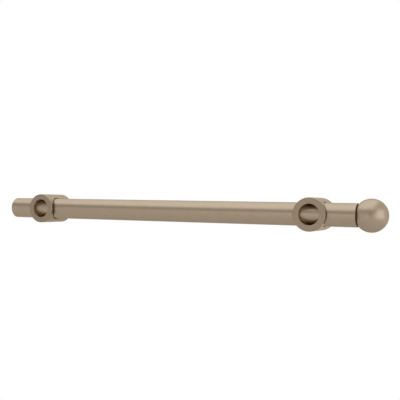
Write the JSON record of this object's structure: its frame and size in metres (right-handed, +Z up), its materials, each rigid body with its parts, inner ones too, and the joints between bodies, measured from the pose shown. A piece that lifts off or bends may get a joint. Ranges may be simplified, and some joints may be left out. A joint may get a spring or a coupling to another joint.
{
  "type": "closet valet rod",
  "caption": "Pull-out closet valet rod: a ball-ended rod slides out of a tube that round posts hold off a cabinet side panel.",
  "frame": {"origin": "on the panel's surface, halfway between the axes of the posts that hold the tube", "axes": "+X along the tube towards the ball, the way the rod pulls out; +Y into the panel; +Z up"},
  "size_m": [0.3063, 0.0391, 0.0228],
  "materials": {
    "satin_nickel": "satin warm nickel plating",
    "plated_steel": "bright zinc plating",
    "black_nylon": "moulded black nylon",
    "pale_nylon": "natural nylon",
    "black_rubber": "matt black rubber"
  },
  "bodies": {
    "housing": {"outer_tube": "satin_nickel", "rear_post": "satin_nickel", "front_post": "satin_nickel", "rear_set_screw": "plated_steel", "front_set_screw": "plated_steel", "rear_mounting_screw": "plated_steel", "front_mounting_screw": "plated_steel", "guide_bush": "black_nylon", "rear_plug": "black_nylon"},
    "slider": {"slider": "pale_nylon", "rear_friction_ring": "black_rubber", "front_friction_ring": "black_rubber", "stop_buffer": "black_rubber"},
    "rod": {"pivot_screw": "plated_steel", "pivot_washer": "plated_steel", "rear_insert": "plated_steel", "inner_rod": "satin_nickel", "front_insert": "plated_steel", "knob_stud": "plated_steel", "ball_knob": "satin_nickel"}
  },
  "joints": [
    {"name": "rod_slide", "type": "slide", "parent": "housing", "child": "slider", "axis": [1, 0, 0], "range_m": [0, 0.215]},
    {"name": "rod_turn", "type": "hinge", "parent": "slider", "child": "rod", "pos_m": [-0.10275, -0.01605, 0], "axis": [1, 0, 0], "continuous": true}
  ]
}
